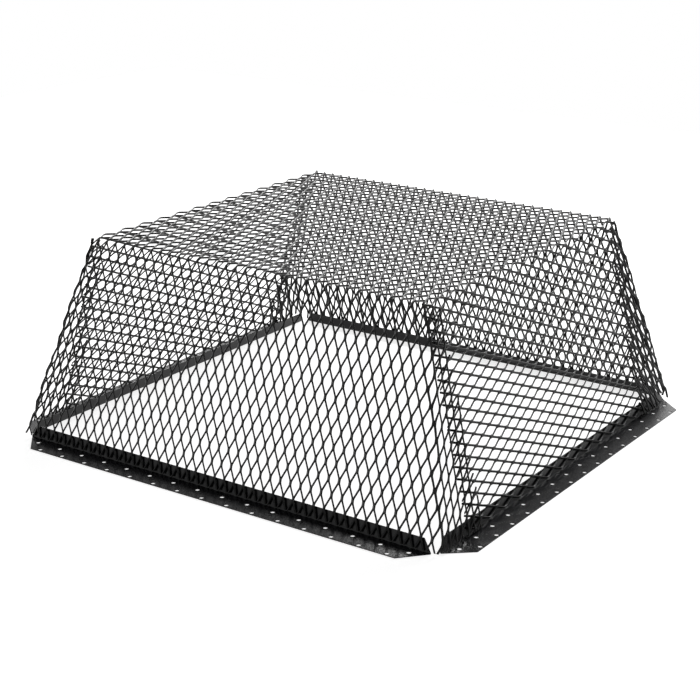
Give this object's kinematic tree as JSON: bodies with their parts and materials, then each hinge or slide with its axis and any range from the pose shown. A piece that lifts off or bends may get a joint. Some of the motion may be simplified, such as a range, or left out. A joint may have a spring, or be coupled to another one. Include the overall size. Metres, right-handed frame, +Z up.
{
  "type": "roof vent guard",
  "caption": "Truncated pyramid cage of raised expanded steel mesh, open below, on punched mounting flanges; goes over a roof vent to keep animals and birds out.",
  "frame": {"origin": "centre of the base, on the underside of the mounting flanges", "axes": "+Z up, out of the roof; +X along the front wall to the right; +Y from the front wall to the back wall"},
  "size_m": [0.76, 0.76, 0.2936],
  "materials": {
    "painted_mesh": "satin black paint on expanded steel",
    "painted_sheet": "satin black paint on bent sheet steel"
  },
  "bodies": {
    "root": {"mesh_cage": "painted_mesh", "flange_front": "painted_sheet", "flange_back": "painted_sheet", "flange_left": "painted_sheet", "flange_right": "painted_sheet"}
  },
  "joints": []
}
